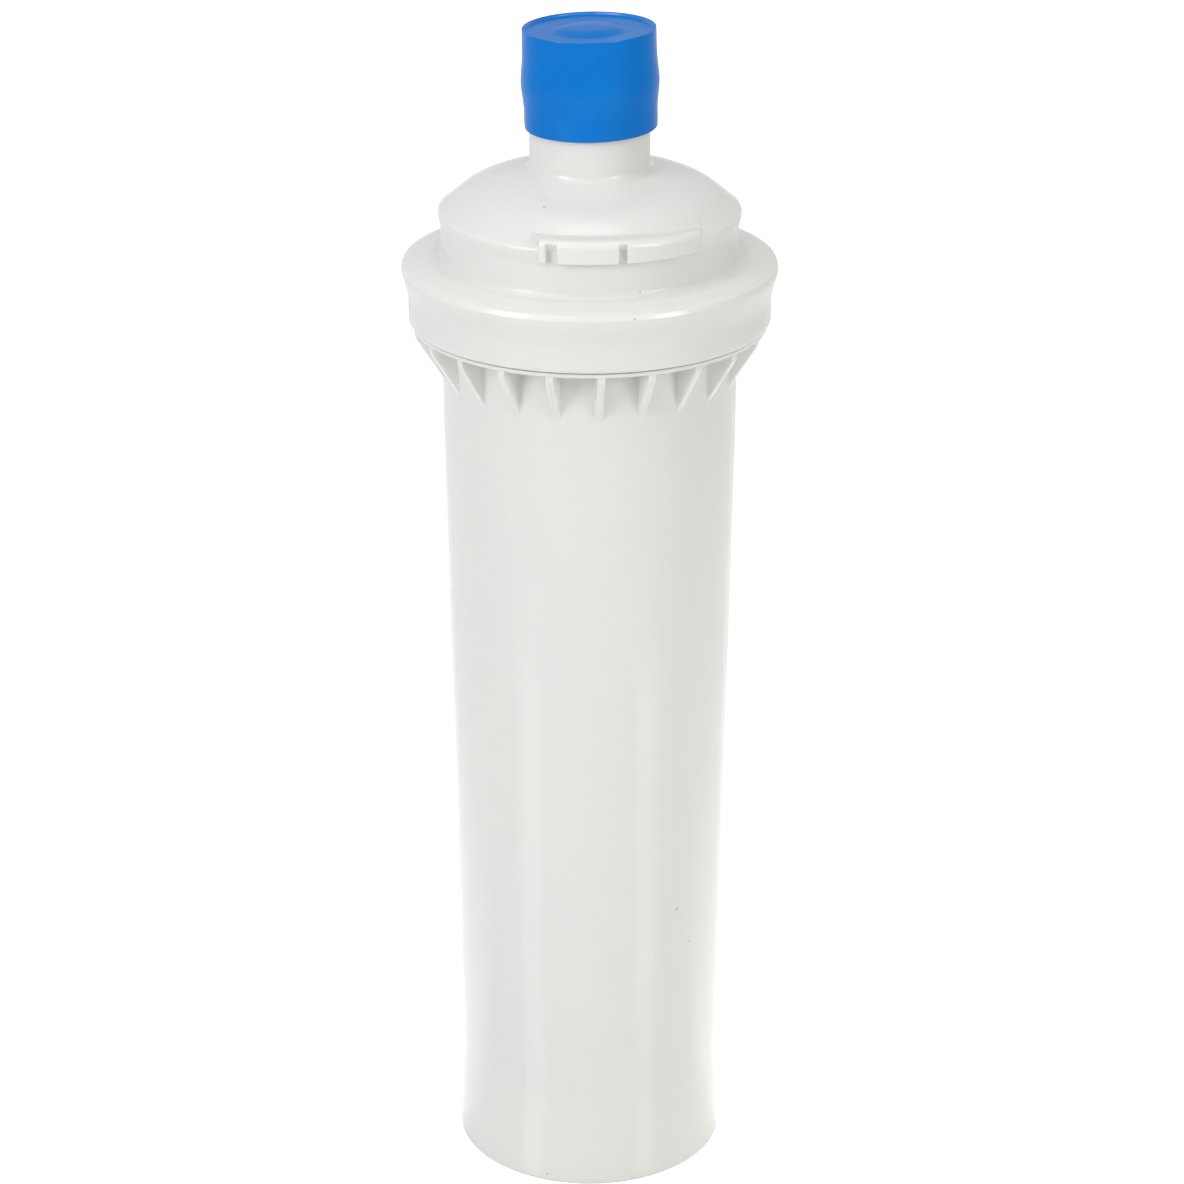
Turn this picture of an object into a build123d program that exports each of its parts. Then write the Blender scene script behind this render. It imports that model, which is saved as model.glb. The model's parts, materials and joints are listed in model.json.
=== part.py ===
from build123d import *
import os
from math import cos, sin, radians

# Plumbed-in water filter cartridge with a pull-off sanitary cap.
# Frame: millimetres, +Z up, origin at the centre of the standing rim.
# Front is -Y. Angles are in degrees from the front towards +X.
# Outline points are (radius, z). Names ending in _r are radii, in _z heights, in _t thicknesses.

os.makedirs("parts", exist_ok=True)

# ---- dimensions shared between pieces ----
overall_height = 370.0        # standing rim to the top of the cap
gap = 0.02                    # keeps neighbouring pieces apart

# neck seals
lower_groove_z = 353.3
lower_groove_r = 15.6
lower_oring_r = 18.75
upper_groove_z = 363.2
upper_groove_r = 13.2
upper_oring_r = 16.0

# outlet tube
outlet_r = 5.2                # bore of the tube and of the neck top
tube_r = 7.5
tube_top_z = 363.4
tube_fit = 0.06               # radial play of the valve pieces on the tube

# inlet check valve
valve_seat_z = 338.0
valve_mouth_z = 322.5
valve_bore_r = 14.6
seal_t = 1.2
disc_t = 2.4
disc_top_z = valve_seat_z - gap - seal_t
retainer_top_z = 326.0

# weld between head and sump
band_ceiling_z = 296.4
weld_floor_z = 286.0

# domed floor of the sump
floor_top_z = 5.0 + 3.2       # outside apex plus thickness
floor_inside = [(10.0, 8.95), (21.2, 11.9), (30.4, 17.1)]

# filter element
block_bottom_z = 48.0
block_top_z = 286.2
adhesive_t = 1.8
top_floor_z = block_top_z + adhesive_t
bottom_floor_z = block_bottom_z - adhesive_t
element_bottom_z = 43.6
core_r = 12.0
core_bore_r = 10.6
core_wrap_r = core_r + 0.52
block_r = 33.5
wrap_r = 35.0
net_r = 35.8
cup_r = 36.0                  # inside radius of both end caps
cup_lip_r = 37.4
cup_sleeve_r = core_bore_r - 0.2
adhesive_r = cup_r - 0.05
spigot_r = 8.9
spigot_groove_r = 7.2
spigot_groove_z0, spigot_groove_z1 = 297.0, 299.2


# ---- helpers ----

def point(pair):
    return Vector(pair[0], 0, pair[1])


def arc(start, middle, end):
    return Edge.make_three_point_arc(point(start), point(middle), point(end))


def quarter(start, end, centre):
    """Quarter circle between two points about a centre."""
    middle = [c + cos(radians(45)) * (a + b - 2 * c) for a, b, c in zip(start, end, centre)]
    return arc(start, middle, end)


def curve(points, start_dir, end_dir):
    """Smooth curve through points with given end directions."""
    return Edge.make_spline([point(pair) for pair in points],
                            tangents=[point(start_dir), point(end_dir)])


def lines(*points):
    return [Edge.make_line(point(a), point(b)) for a, b in zip(points[:-1], points[1:])]


def lathe(edges):
    """Solid of revolution about Z from a closed chain of edges in the XZ plane."""
    return Solid.revolve(Face(Wire(edges)), 360, Axis.Z)


def turned(*points):
    """Solid of revolution from the corners of a straight-sided outline."""
    return lathe(lines(*points, points[0]))


def ring(inner_r, outer_r, z0, z1):
    return turned((inner_r, z0), (outer_r, z0), (outer_r, z1), (inner_r, z1))


def oring(inner_r, outer_r, z):
    mid_r = (inner_r + outer_r) / 2
    half = (outer_r - inner_r) / 2
    bottom, top = (mid_r, z - half), (mid_r, z + half)
    return lathe([arc(bottom, (outer_r, z), top), arc(top, (inner_r, z), bottom)])


def polar(radius, angle, z):
    return Vector(radius * sin(radians(angle)), -radius * cos(radians(angle)), z)


def slab(inner_r, outer_r, half_width, z0, z1, angle):
    """Radial block centred on an angle."""
    block = Pos((inner_r + outer_r) / 2, 0, (z0 + z1) / 2) * Box(
        outer_r - inner_r, 2 * half_width, z1 - z0)
    return Rot(0, 0, angle - 90) * block


def sector(start, end, radius, z0, z1):
    """Wedge between two angles, with a faceted outer side."""
    facets = 6
    arc_points = [polar(radius, start + (end - start) * i / facets, z0)
                  for i in range(facets + 1)]
    centre = Vector(0, 0, z0)
    corners = [centre, *arc_points, centre]
    edges = [Edge.make_line(a, b) for a, b in zip(corners[:-1], corners[1:])]
    return Solid.extrude(Face(Wire(edges)), Vector(0, 0, z1 - z0))


def solid_of(shape):
    """The single solid of a boolean result, or a compound of several."""
    solids = shape.solids()
    return solids[0] if len(solids) == 1 else Compound(children=list(solids))


# ---- head shell: neck, dome, bayonet lugs and collar band ----

neck_r = 18.1                 # main land
neck_top_z = 366.5
neck_step_z = 356.8           # step between the main and upper lands
neck_base_z = 329.6
upper_land_r = 15.4
lower_groove_w = 3.4
upper_groove_w = 3.0
port_z = 358.7                # radial ports between the two seals
port_d = 3.0
port_count = 8

shoulder = (45.56, 314.3)     # widest point below the dome
drum_r = 44.9
drum_bottom_z = 304.9
drum_fillet = 4.5
head_inner_r = 41.4
band_bead = (56.9, 297.0)
band_r = 55.0
band_bottom_z = 280.9
band_inner_r = 52.0
band_bevel = 0.3
tongue_inner_r, tongue_outer_r = 45.3, 49.2

dome = [(20.5, 326.75), (26.0, 325.5), (32.0, 323.7), (38.0, 320.8), (42.0, 317.6),
        (44.4, 315.6)]
dome_inside = [(head_inner_r, 311.2), (38.6, 315.7), (34.0, 318.9), (28.0, 321.2),
               (22.0, 322.6), (17.4, 323.4)]
band_top = [(54.0, 299.6), (55.6, 299.0), (56.5, 298.2), band_bead]
band_flank = [band_bead, (56.5, 294.6), (55.8, 292.4), (55.3, 290.4), (band_r, 287.5)]


def head_outline():
    lower_z0, lower_z1 = (lower_groove_z + side * lower_groove_w / 2 for side in (-1, 1))
    upper_z0, upper_z1 = (upper_groove_z + side * upper_groove_w / 2 for side in (-1, 1))
    fillet_start = (drum_r, drum_bottom_z)
    fillet_end = (drum_r + drum_fillet, drum_bottom_z - drum_fillet)
    return [
        # neck, from the outlet down
        *lines(
            (outlet_r, neck_top_z), (upper_land_r - 0.7, neck_top_z),
            (upper_land_r, neck_top_z - 0.7), (upper_land_r, upper_z1),
            (upper_groove_r, upper_z1), (upper_groove_r, upper_z0),
            (upper_land_r, upper_z0), (upper_land_r, neck_step_z),
            (neck_r - 0.8, neck_step_z), (neck_r, neck_step_z - 0.8),
            (neck_r, lower_z1), (lower_groove_r, lower_z1),
            (lower_groove_r, lower_z0), (neck_r, lower_z0), (neck_r, neck_base_z)),
        # dome, shoulder and drum
        curve([(neck_r, neck_base_z), (18.75, 327.75), dome[0]], (0, -1), (1, -0.2)),
        curve(dome, (1, -0.2), (1, -0.85)),
        curve([dome[-1], (45.3, 314.95), shoulder], (1, -0.85), (0.05, -1)),
        curve([shoulder, (45.3, 312.2), (drum_r, 310.0)], (0, -1), (-0.1, -1)),
        *lines((drum_r, 310.0), fillet_start),
        quarter(fillet_start, fillet_end, (drum_r + drum_fillet, drum_bottom_z)),
        # collar band
        *lines(fillet_end, band_top[0]),
        curve(band_top, (1, -0.17), (0, -1)),
        curve(band_flank, (0, -1), (0, -1)),
        *lines(
            band_flank[-1], (band_r, band_bottom_z + band_bevel),
            (band_r - band_bevel, band_bottom_z),
            (band_inner_r + band_bevel, band_bottom_z),
            (band_inner_r, band_bottom_z + band_bevel), (band_inner_r, band_ceiling_z),
            # weld tongue
            (tongue_outer_r, band_ceiling_z), (tongue_outer_r, weld_floor_z),
            (tongue_inner_r, weld_floor_z), (tongue_inner_r, band_ceiling_z),
            (head_inner_r, band_ceiling_z), dome_inside[0]),
        curve(dome_inside, (-0.1, 1), (-1, 0.12)),
        # valve bore, seat, inlet chamber and outlet tube socket
        *lines(
            dome_inside[-1], (17.4, valve_mouth_z), (valve_bore_r, valve_mouth_z),
            (valve_bore_r, valve_seat_z), (11.0, valve_seat_z), (11.0, 340.2),
            (13.0, 341.6), (13.0, 355.4), (11.6, 356.6), (11.6, 360.6), (9.3, 360.6),
            (9.3, 350.0), (tube_r, 350.0), (tube_r, tube_top_z),
            (outlet_r, tube_top_z), (outlet_r, neck_top_z)),
    ]


lug_face_r = 47.7
lug_bottom_z = 311.4
lug_top_z = 318.2
lug_start, lug_end = -19.2, 47.0                # angles
lug_slots = ((-15.8, -11.6), (10.2, 13.4))      # start and end angles
slot_top_z = 317.0
slot_floor_r = 45.0
lug_round = 2.4               # radius along the top outer edge
lug_bevel = 0.2
tail_mid = 31.0               # angle of the middle of the tail


def bayonet_lug():
    """Swept pad on the shoulder: two slots open at the bottom, then a tapering tail."""
    round_start = (lug_face_r, lug_top_z - lug_round)
    round_end = (lug_face_r - lug_round, lug_top_z)
    pad = lathe([
        *lines(
            (43.6, 314.5), (43.6, lug_bottom_z), (lug_face_r - lug_bevel, lug_bottom_z),
            (lug_face_r, lug_bottom_z + lug_bevel), round_start),
        quarter(round_start, round_end, (lug_face_r - lug_round, lug_top_z - lug_round)),
        *lines(round_end, (40.4, lug_top_z), (40.4, 317.2), (43.6, 314.5)),
    ])
    lug = pad & sector(lug_start, lug_end, 70, 305, 325)
    for start, end in lug_slots:
        cutter = ring(slot_floor_r, 60, 300, slot_top_z) & sector(
            start, end, 80, 299, slot_top_z + 1)
        lug = lug - cutter

    # trim the tail from the full radius down to the shoulder
    tail_start, tail_end = lug_slots[1][1], lug_end + 0.5
    trim_z = 305
    inside = [polar(lug_face_r, tail_start, trim_z), polar(47.05, tail_mid, trim_z),
              polar(45.95, tail_end, trim_z)]
    outside = [polar(60, tail_end, trim_z), polar(62, tail_mid, trim_z),
               polar(60, tail_start, trim_z)]
    trim = Face(Wire([
        Edge.make_three_point_arc(*inside),
        Edge.make_line(inside[2], outside[0]),
        Edge.make_three_point_arc(*outside),
        Edge.make_line(outside[2], inside[0])]))
    return solid_of(lug - Solid.extrude(trim, Vector(0, 0, 20)))


def head_shell():
    head = lathe(head_outline())
    for i in range(port_count):
        drill = Rot(0, 0, 360 / port_count * i + 22.5) * (
            Pos(10.2, 0, port_z) * Rot(0, 90, 0) *
            Cylinder(port_d / 2, 7, align=(Align.CENTER, Align.CENTER, Align.MIN)))
        head = head - drill
    lug = bayonet_lug()
    head = head + lug + Rot(0, 0, 180) * lug
    return solid_of(head)


# ---- sump shell: rib ring, body, standing skirt and domed floor ----

sump_top_r = 44.9
sump_wall_top = (41.9, band_ceiling_z)          # inside of the wall at the weld
sump_wall_low = (39.5, 33.0)                    # inside of the wall above the floor
channel_outer_r = 49.6
channel_wall_r = 51.8
channel_top_z = 293.8
rib_ring_r = 54.0
rib_ring_top_z = 280.35
rib_ring_bottom_z = 279.2
rib_ring_bevel = 0.3
rib_ring_fillet = 1.3
rim_r = 43.0
rim_round = 0.6
skirt_r = rim_r - 2.6         # inside of the standing skirt
floor_join = (39.7, 27.0)     # where the skirt meets the floor

# outside of the body from the top down, past the waist to the rim
sump_body = [
    (sump_top_r, 262.0), (44.85, 245.0), (44.6, 228.0), (44.2, 201.0), (43.9, 174.0),
    (43.45, 146.0), (43.25, 118.0), (43.1, 89.0), (42.8, 60.0), (42.45, 45.0),
    (42.2, 29.5), (42.55, 18.0), (42.95, 8.0), (rim_r, rim_round),
]
floor_outside = [floor_join, (38.0, 21.6), (32.0, 14.4), (22.0, 8.8), (10.0, 5.75),
                 (0.0, 5.0)]

gusset_count = 22
gusset_phase = 3.65           # angle of the first gusset
gusset_t = 2.3
gusset_root_r = 44.0          # buried in the wall
gusset_corner_z = 277.2
gusset_tip_z = 263.2


def gusset_blank():
    """One triangular gusset under the rib ring, at the front."""
    top_z = rib_ring_bottom_z + 0.2
    outer_r = rib_ring_r - rib_ring_bevel
    face = Face(Wire(lines(
        (gusset_root_r, top_z), (outer_r, top_z), (outer_r, gusset_corner_z),
        (sump_top_r, gusset_tip_z), (gusset_root_r, gusset_tip_z - 1.4),
        (gusset_root_r, top_z))))
    gusset = Pos(0, -gusset_t / 2, 0) * Solid.extrude(face, Vector(0, gusset_t, 0))
    return Rot(0, 0, -90) * gusset


def sump_shell():
    fillet_start = (sump_top_r + rib_ring_fillet, rib_ring_bottom_z)
    fillet_end = (sump_top_r, rib_ring_bottom_z - rib_ring_fillet)
    rim_end = (rim_r - rim_round, 0)
    sump = lathe([
        # weld channel and rib ring
        *lines(
            sump_wall_top, (sump_top_r, band_ceiling_z), (sump_top_r, weld_floor_z),
            (channel_outer_r, weld_floor_z), (channel_outer_r, channel_top_z),
            (channel_wall_r, channel_top_z), (channel_wall_r, rib_ring_top_z),
            (rib_ring_r - rib_ring_bevel, rib_ring_top_z),
            (rib_ring_r, rib_ring_top_z - rib_ring_bevel),
            (rib_ring_r, rib_ring_bottom_z + rib_ring_bevel),
            (rib_ring_r - rib_ring_bevel, rib_ring_bottom_z), fillet_start),
        quarter(fillet_start, fillet_end, (fillet_start[0], fillet_end[1])),
        # body and skirt
        *lines(fillet_end, sump_body[0]),
        curve(sump_body, (0, -1), (0, -1)),
        quarter(sump_body[-1], rim_end, (rim_r - rim_round, rim_round)),
        *lines(rim_end, (skirt_r + rim_round, 0), (skirt_r, rim_round), floor_join),
        # floor, outside then inside
        curve(floor_outside, (-0.1, -1), (-1, 0)),
        *lines(floor_outside[-1], (0.0, floor_top_z)),
        curve([(0.0, floor_top_z), *floor_inside, (36.4, 24.4), sump_wall_low],
              (1, 0), (0.05, 1)),
        *lines(sump_wall_low, sump_wall_top),
    ])
    gusset = gusset_blank()
    for i in range(gusset_count):
        sump = sump + Rot(0, 0, gusset_phase + 360 / gusset_count * i) * gusset
    return solid_of(sump)


# ---- outlet tube with a flared lower socket ----

def outlet_tube():
    socket_r = 11.5
    socket_bore_r = spigot_r + 0.1
    socket_bottom_z = 292.0
    return turned(
        (outlet_r, tube_top_z), (tube_r, tube_top_z), (tube_r, 312.0), (socket_r, 306.5),
        (socket_r, socket_bottom_z), (spigot_r + 0.8, socket_bottom_z),
        (socket_bore_r, socket_bottom_z + 1.0), (socket_bore_r, 304.6), (outlet_r, 309.4))


# ---- inlet check valve round the outlet tube ----

def check_disc():
    bore_r = tube_r + tube_fit
    disc_r = 13.4
    lip_r, lip_top_z = 9.2, disc_top_z + 0.6
    sleeve_r, sleeve_bottom_z = 9.0, 328.3
    return turned(
        (bore_r, lip_top_z), (lip_r, lip_top_z), (lip_r, disc_top_z), (disc_r, disc_top_z),
        (disc_r, disc_top_z - disc_t), (sleeve_r, disc_top_z - disc_t),
        (sleeve_r, sleeve_bottom_z), (bore_r, sleeve_bottom_z))


def check_retainer():
    """Hub and rim joined by six spokes."""
    bore_r = tube_r + tube_fit
    bottom_z = 321.0
    hub_r = 11.7
    rim_inner_r, flange_r = 13.1, 16.6
    hub = turned(
        (bore_r, bottom_z), (9.6, bottom_z), (hub_r, 322.6), (hub_r, retainer_top_z),
        (bore_r, retainer_top_z))
    rim = turned(
        (rim_inner_r, bottom_z), (flange_r, bottom_z), (flange_r, valve_mouth_z),
        (valve_bore_r, valve_mouth_z), (valve_bore_r, retainer_top_z),
        (rim_inner_r, retainer_top_z))
    retainer = hub + rim
    for i in range(6):
        retainer = retainer + slab(11.2, 13.6, 1.1, 322.6, retainer_top_z, 60 * i)
    return solid_of(retainer)


def check_spring():
    coil_r = 10.4
    wire_r = 0.45
    turns = 4.0
    start_z = retainer_top_z + wire_r + gap
    height = disc_top_z - disc_t - wire_r - gap - start_z
    helix = Edge.make_helix(pitch=height / turns, height=height, radius=coil_r,
                            center=(0, 0, start_z))
    wire = Plane(origin=helix @ 0, z_dir=helix % 0) * Circle(wire_r)
    return solid_of(sweep(wire, path=Wire([helix]), is_frenet=True))


# ---- filter element ----

def top_end_cap():
    """Cup with a sleeve into the core, a grooved spigot and 12 ribs on top."""
    bore_r = 5.6
    sleeve_bottom_z = 279.0
    lip_z = 280.0
    cup_top_z = top_floor_z + 2.8
    spigot_top_z = 303.6
    cap = turned(
        (bore_r, sleeve_bottom_z), (cup_sleeve_r, sleeve_bottom_z),
        (cup_sleeve_r, top_floor_z), (cup_r, top_floor_z), (cup_r, lip_z + 0.6),
        (cup_r + 0.6, lip_z), (cup_lip_r, lip_z), (cup_lip_r, cup_top_z - 0.8),
        (cup_lip_r - 0.8, cup_top_z), (spigot_r, cup_top_z),
        (spigot_r, spigot_groove_z0), (spigot_groove_r, spigot_groove_z0),
        (spigot_groove_r, spigot_groove_z1), (spigot_r, spigot_groove_z1),
        (spigot_r, spigot_top_z - 1.0), (8.2, spigot_top_z), (bore_r, spigot_top_z))
    for i in range(12):
        cap = cap + slab(13.0, 34.0, 0.75, cup_top_z - 0.5, cup_top_z + 2.2, 30 * i)
    return solid_of(cap)


def bottom_end_cap():
    """Closed cup with a short sleeve into the core."""
    lip_z = 54.2
    sleeve_inner_r, sleeve_top_z = 8.4, 55.0
    return turned(
        (0, element_bottom_z), (cup_lip_r - 0.8, element_bottom_z),
        (cup_lip_r, element_bottom_z + 0.8), (cup_lip_r, lip_z), (cup_r + 0.6, lip_z),
        (cup_r, lip_z - 0.6), (cup_r, bottom_floor_z), (cup_sleeve_r, bottom_floor_z),
        (cup_sleeve_r, sleeve_top_z), (sleeve_inner_r, sleeve_top_z),
        (sleeve_inner_r, bottom_floor_z), (0, bottom_floor_z))


def block_layer(inner_r, outer_r):
    """Tubular layer over the height of the carbon block."""
    return ring(inner_r, outer_r, block_bottom_z, block_top_z)


def core_tube():
    """Tube with rows of cross holes, every other row turned by 45 degrees."""
    rows = 14
    first_z, last_z = 66.0, 272.0
    hole_r = 1.8
    core = ring(core_bore_r, core_r, bottom_floor_z, top_floor_z)
    for i in range(rows):
        z = first_z + i * (last_z - first_z) / (rows - 1)
        for j in range(2):
            angle = 90.0 * j + (45.0 if i % 2 else 0.0)
            core = core - Rot(0, 0, angle) * (
                Pos(0, 0, z) * Rot(0, 90, 0) * Cylinder(hole_r, 30))
    return solid_of(core)


# ---- ribbed spacer between the domed floor and the element ----

def bottom_spacer(sump):
    """Two rings and six radial vanes, shaped underneath to clear the floor."""
    top_z = element_bottom_z - 0.05
    underside = [(0.0, floor_top_z + gap)]
    underside += [(r - inset, z + gap) for (r, z), inset in zip(floor_inside, (0, gap, gap))]
    underside.append((36.2, 24.7))
    zone = lathe([
        *lines((0.0, top_z), underside[0]),
        curve(underside, (1, 0), (0.45, 1)),
        *lines(underside[-1], (36.8, top_z), (0.0, top_z)),
    ])
    vanes = ring(9.5, 11.5, 0, top_z) + ring(26.0, 27.6, 0, top_z)
    for i in range(6):
        vanes = vanes + slab(10.5, 38.0, 1.0, 0, top_z, 60 * i + 30)
    return solid_of((zone & vanes) - sump)


# ---- sanitary cap: soft cup, bulged where it is stretched over the lower seal ----

cap_bottom_z = 339.8
cap_inner_r = 18.85
cap_roof_z = overall_height - 2.5               # underside of the roof
cap_outside = [
    (19.75, cap_bottom_z + 0.35), (19.85, 342.0), (19.9, 346.0), (20.12, 348.6),
    (20.38, 351.0), (20.6, 353.4), (20.48, 355.8), (20.28, 358.0), (20.05, 360.5),
    (19.92, 363.5), (19.82, 369.2),
]
cap_crown = [(12.5, 368.75), (10.6, 368.85), (8.6, 369.4), (6.4, 369.8), (3.0, 369.97),
             (0.0, overall_height)]
cap_inside = [(cap_inner_r, 359.6), (19.15, 356.4), (19.45, 353.4), (19.2, 350.4),
              (cap_inner_r, 347.4)]


def sanitary_cap():
    mouth_inner, mouth_outer = (cap_inner_r, cap_bottom_z), (19.45, cap_bottom_z)
    edge_outer, edge_inner = (19.45, 369.6), (18.9, 369.6)
    roof_corner, wall_top = (18.0, cap_roof_z), (cap_inner_r, 366.6)
    return lathe([
        *lines(mouth_inner, mouth_outer),
        arc(mouth_outer, (19.68, cap_bottom_z + 0.1), cap_outside[0]),
        curve(cap_outside, (0, 1), (-0.02, 1)),
        arc(cap_outside[-1], (19.72, 369.5), edge_outer),
        *lines(edge_outer, edge_inner),
        arc(edge_inner, (18.75, 369.5), (18.65, 369.25)),
        *lines((18.65, 369.25), (18.55, 368.85), cap_crown[0]),
        curve(cap_crown, (-1, 0), (-1, 0)),
        *lines(cap_crown[-1], (0.0, cap_roof_z), roof_corner),
        arc(roof_corner, (18.6, 367.25), wall_top),
        *lines(wall_top, cap_inside[0]),
        curve(cap_inside, (0, -1), (0, -1)),
        *lines(cap_inside[-1], mouth_inner),
    ])


# ---- build and export ----

sump_body_shell = sump_shell()
pieces = {
    "head_shell": head_shell(),
    "sump_shell": sump_body_shell,
    "neck_oring_lower": oring(lower_groove_r, lower_oring_r, lower_groove_z),
    "neck_oring_upper": oring(upper_groove_r, upper_oring_r, upper_groove_z),
    "outlet_tube": outlet_tube(),
    "check_disc": check_disc(),
    "check_disc_seal": ring(9.4, 13.2, disc_top_z, disc_top_z + seal_t),
    "check_retainer": check_retainer(),
    "check_spring": check_spring(),
    "top_end_cap": top_end_cap(),
    "spigot_oring": oring(spigot_groove_r, spigot_r + 0.1,
                          (spigot_groove_z0 + spigot_groove_z1) / 2),
    "top_adhesive": ring(core_r + gap, adhesive_r, block_top_z, top_floor_z),
    "bottom_end_cap": bottom_end_cap(),
    "bottom_adhesive": ring(core_r + gap, adhesive_r, bottom_floor_z, block_bottom_z),
    "carbon_block": block_layer(core_r + 0.55, block_r),
    "core_wrap": block_layer(core_r + gap, core_wrap_r),
    "prefilter_wrap": block_layer(block_r + gap, wrap_r),
    "netting_sleeve": block_layer(wrap_r + gap, net_r),
    "core_tube": core_tube(),
    "bottom_spacer": bottom_spacer(sump_body_shell),
    "sanitary_cap": sanitary_cap(),
}
for name, shape in pieces.items():
    export_step(shape, f"parts/{name}.step")
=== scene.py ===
"""A white filter cartridge standing on the floor, with a soft blue cap on its neck.

The cartridge's axis is Z and its foot is at z = 0. The front is -Y and the camera looks from there;
+X is to the right. Shapes are drawn in millimetres and turned into metres as meshes are made.
Profiles are lists of (radius, height).
"""
import json
import math

import bpy
import bmesh
import numpy as np
from mathutils import Matrix, Vector


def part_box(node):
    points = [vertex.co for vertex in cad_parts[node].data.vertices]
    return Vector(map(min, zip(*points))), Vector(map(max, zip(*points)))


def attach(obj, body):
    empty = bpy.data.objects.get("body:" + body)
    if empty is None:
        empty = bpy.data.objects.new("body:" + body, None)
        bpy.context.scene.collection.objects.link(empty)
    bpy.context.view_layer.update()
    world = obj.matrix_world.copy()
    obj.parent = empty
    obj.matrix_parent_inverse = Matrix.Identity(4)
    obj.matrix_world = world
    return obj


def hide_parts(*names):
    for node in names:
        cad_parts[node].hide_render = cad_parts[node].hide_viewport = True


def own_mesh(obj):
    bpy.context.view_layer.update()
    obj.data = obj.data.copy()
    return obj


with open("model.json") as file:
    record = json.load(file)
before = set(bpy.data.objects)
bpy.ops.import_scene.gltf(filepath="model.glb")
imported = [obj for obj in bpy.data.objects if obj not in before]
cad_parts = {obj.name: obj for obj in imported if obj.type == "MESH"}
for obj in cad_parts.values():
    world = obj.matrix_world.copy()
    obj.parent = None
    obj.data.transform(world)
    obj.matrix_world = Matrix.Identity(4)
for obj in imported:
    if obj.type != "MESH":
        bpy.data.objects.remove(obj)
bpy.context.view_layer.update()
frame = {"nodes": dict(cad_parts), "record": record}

MM = 0.001
scene = bpy.context.scene


# ---------------------------------------------------------------------------
# profile tools
# ---------------------------------------------------------------------------

def clamp(value):
    return max(0.0, min(1.0, value))


def ease(value):
    """Smooth step from 0 to 1."""
    t = clamp(value)
    return t * t * (3 - 2 * t)


def straight(start, end, count):
    """count points from start to end, without start."""
    start, end = np.array(start, float), np.array(end, float)
    return [tuple(start + (end - start) * (i + 1) / count) for i in range(count)]


def arc(center, radius, start, end, count):
    """count points on an arc between two angles in degrees, without the first."""
    return [(center[0] + radius * math.cos(t), center[1] + radius * math.sin(t))
            for t in np.linspace(math.radians(start), math.radians(end), count + 1)[1:]]


def chord_lengths(points):
    """Length of each chord, and the distance along the polyline at each point."""
    chords = np.sqrt((np.diff(points, axis=0) ** 2).sum(1))
    return chords, np.concatenate([[0], np.cumsum(chords)])


def even(points, count):
    """count points evenly spaced along a polyline, without its first point."""
    points = np.array(points, float)
    _, along = chord_lengths(points)
    return [(float(np.interp(s, along, points[:, 0])), float(np.interp(s, along, points[:, 1])))
            for s in np.linspace(0, along[-1], count + 1)[1:]]


def smooth_curve(points, start, end, count):
    """count points on a cubic spline with given end directions, without the first point."""
    knots = np.array(points, float)
    chords, along = chord_lengths(knots)
    last = len(knots) - 1
    system = np.zeros((last + 1, last + 1))
    target = np.zeros((last + 1, 2))
    system[0, 0] = system[-1, -1] = 1
    target[0] = np.array(start, float) / np.linalg.norm(start)
    target[-1] = np.array(end, float) / np.linalg.norm(end)
    for i in range(1, last):
        before, after = chords[i - 1], chords[i]
        system[i, i - 1:i + 2] = after, 2 * (before + after), before
        target[i] = 3 * (after * (knots[i] - knots[i - 1]) / before
                         + before * (knots[i + 1] - knots[i]) / after)
    tangents = np.linalg.solve(system, target)
    out = []
    for s in np.linspace(0, along[-1], count + 1)[1:]:
        i = min(int(np.searchsorted(along, s, side="right")) - 1, last - 1)
        chord = chords[i]
        t = (s - along[i]) / chord
        out.append(tuple((2 * t**3 - 3 * t**2 + 1) * knots[i]
                         + (t**3 - 2 * t**2 + t) * chord * tangents[i]
                         + (-2 * t**3 + 3 * t**2) * knots[i + 1]
                         + (t**3 - t**2) * chord * tangents[i + 1]))
    return out


def rounded(points, radii, arc_count=4, step=None):
    """Polyline with a radius at each inner corner. step is the longest straight piece."""
    corners = [np.array(p, float) for p in points]
    out = [tuple(corners[0])]

    def line_to(end):
        length = np.linalg.norm(end - np.array(out[-1]))
        if length < 1e-7:
            return
        count = max(1, int(math.ceil(length / step))) if step else 1
        out.extend(straight(out[-1], end, count))

    for before, corner, after, radius in zip(corners, corners[1:], corners[2:], radii):
        back, ahead = before - corner, after - corner
        back_length, ahead_length = np.linalg.norm(back), np.linalg.norm(ahead)
        back, ahead = back / back_length, ahead / ahead_length
        angle = math.acos(max(-1, min(1, float(back @ ahead))))
        if radius <= 0 or angle > math.pi - 1e-3:
            line_to(corner)
            continue
        # a radius too large for its sides is made smaller
        cut = min(radius / math.tan(angle / 2), 0.49 * back_length, 0.49 * ahead_length)
        radius = cut * math.tan(angle / 2)
        start, end = corner + back * cut, corner + ahead * cut
        middle = (back + ahead) / np.linalg.norm(back + ahead)
        center = corner + middle * (radius / math.sin(angle / 2))
        line_to(start)
        start_angle = math.atan2(*(start - center)[::-1])
        end_angle = math.atan2(*(end - center)[::-1])
        turn = (end_angle - start_angle + math.pi) % (2 * math.pi) - math.pi
        for k in range(1, arc_count + 1):
            t = start_angle + turn * k / arc_count
            out.append((center[0] + radius * math.cos(t), center[1] + radius * math.sin(t)))
    line_to(corners[-1])
    return out


def first_below(points, z):
    """Index of the first profile point below a height."""
    return next(i for i, point in enumerate(points) if point[1] < z)


def sample(points, first, last, count):
    """count points of a dense list between two indices, without the one at first."""
    return [points[int(round(i))] for i in np.linspace(first, last, count + 1)[1:]]


def blend(section, other, share):
    return [(p[0] + (q[0] - p[0]) * share, p[1] + (q[1] - p[1]) * share)
            for p, q in zip(section, other)]


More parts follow.
